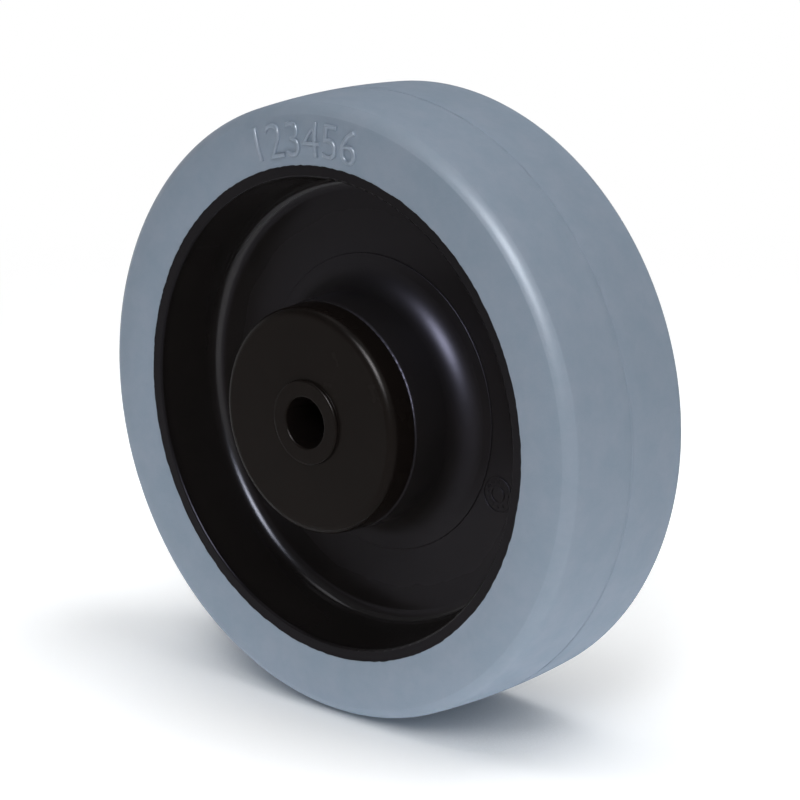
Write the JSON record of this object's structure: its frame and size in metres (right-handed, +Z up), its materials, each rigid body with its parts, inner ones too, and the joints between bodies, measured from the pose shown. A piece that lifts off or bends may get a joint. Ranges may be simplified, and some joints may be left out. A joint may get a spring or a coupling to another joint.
{
  "type": "castor wheel",
  "caption": "Solid rubber castor wheel: grey rubber tyre on a black moulded centre, ball bearings under black hub caps, and a plain axle bore.",
  "frame": {"origin": "centre of the wheel, on the axle line, half way between its two sides", "axes": "+Y along the axle from the front side to the rear, +Z up through the tread, +X to the right seen from the front"},
  "size_m": [0.125, 0.0486, 0.125],
  "materials": {
    "tyre": "matte grey elastic rubber",
    "wheel_plastic": "black moulded polyamide, satin gloss",
    "cap_plastic": "black moulded plastic, satin",
    "ring_steel": "ground bearing steel",
    "ball_steel": "polished bearing steel",
    "sheet_steel": "pressed sheet steel",
    "tube_steel": "zinc plated tube"
  },
  "bodies": {
    "axle_set": {"spacer_tube": "tube_steel", "front_cap": "cap_plastic", "front_inner_ring": "ring_steel", "rear_cap": "cap_plastic", "rear_inner_ring": "ring_steel"},
    "wheel": {"tyre": "tyre", "wheel_centre": "wheel_plastic", "front_outer_ring": "ring_steel", "front_outer_shield": "sheet_steel", "front_inner_shield": "sheet_steel", "rear_outer_ring": "ring_steel", "rear_outer_shield": "sheet_steel", "rear_inner_shield": "sheet_steel"},
    "front_cage": {"front_balls": "ball_steel", "front_outer_cage_half": "sheet_steel", "front_inner_cage_half": "sheet_steel", "front_cage_rivets": "sheet_steel"},
    "rear_cage": {"rear_balls": "ball_steel", "rear_outer_cage_half": "sheet_steel", "rear_inner_cage_half": "sheet_steel", "rear_cage_rivets": "sheet_steel"}
  },
  "joints": [
    {"name": "wheel_spin", "type": "hinge", "parent": "axle_set", "child": "wheel", "pos_m": [0, 0, 0], "axis": [0, 1, 0], "continuous": true},
    {"name": "front_cage_spin", "type": "hinge", "parent": "axle_set", "child": "front_cage", "pos_m": [0, 0, 0], "axis": [0, 1, 0], "continuous": true},
    {"name": "rear_cage_spin", "type": "hinge", "parent": "axle_set", "child": "rear_cage", "pos_m": [0, 0, 0], "axis": [0, 1, 0], "continuous": true}
  ],
  "couplings": [
    {"joint": "front_cage_spin", "follows": "wheel_spin", "ratio": 0.619},
    {"joint": "rear_cage_spin", "follows": "wheel_spin", "ratio": 0.619}
  ]
}
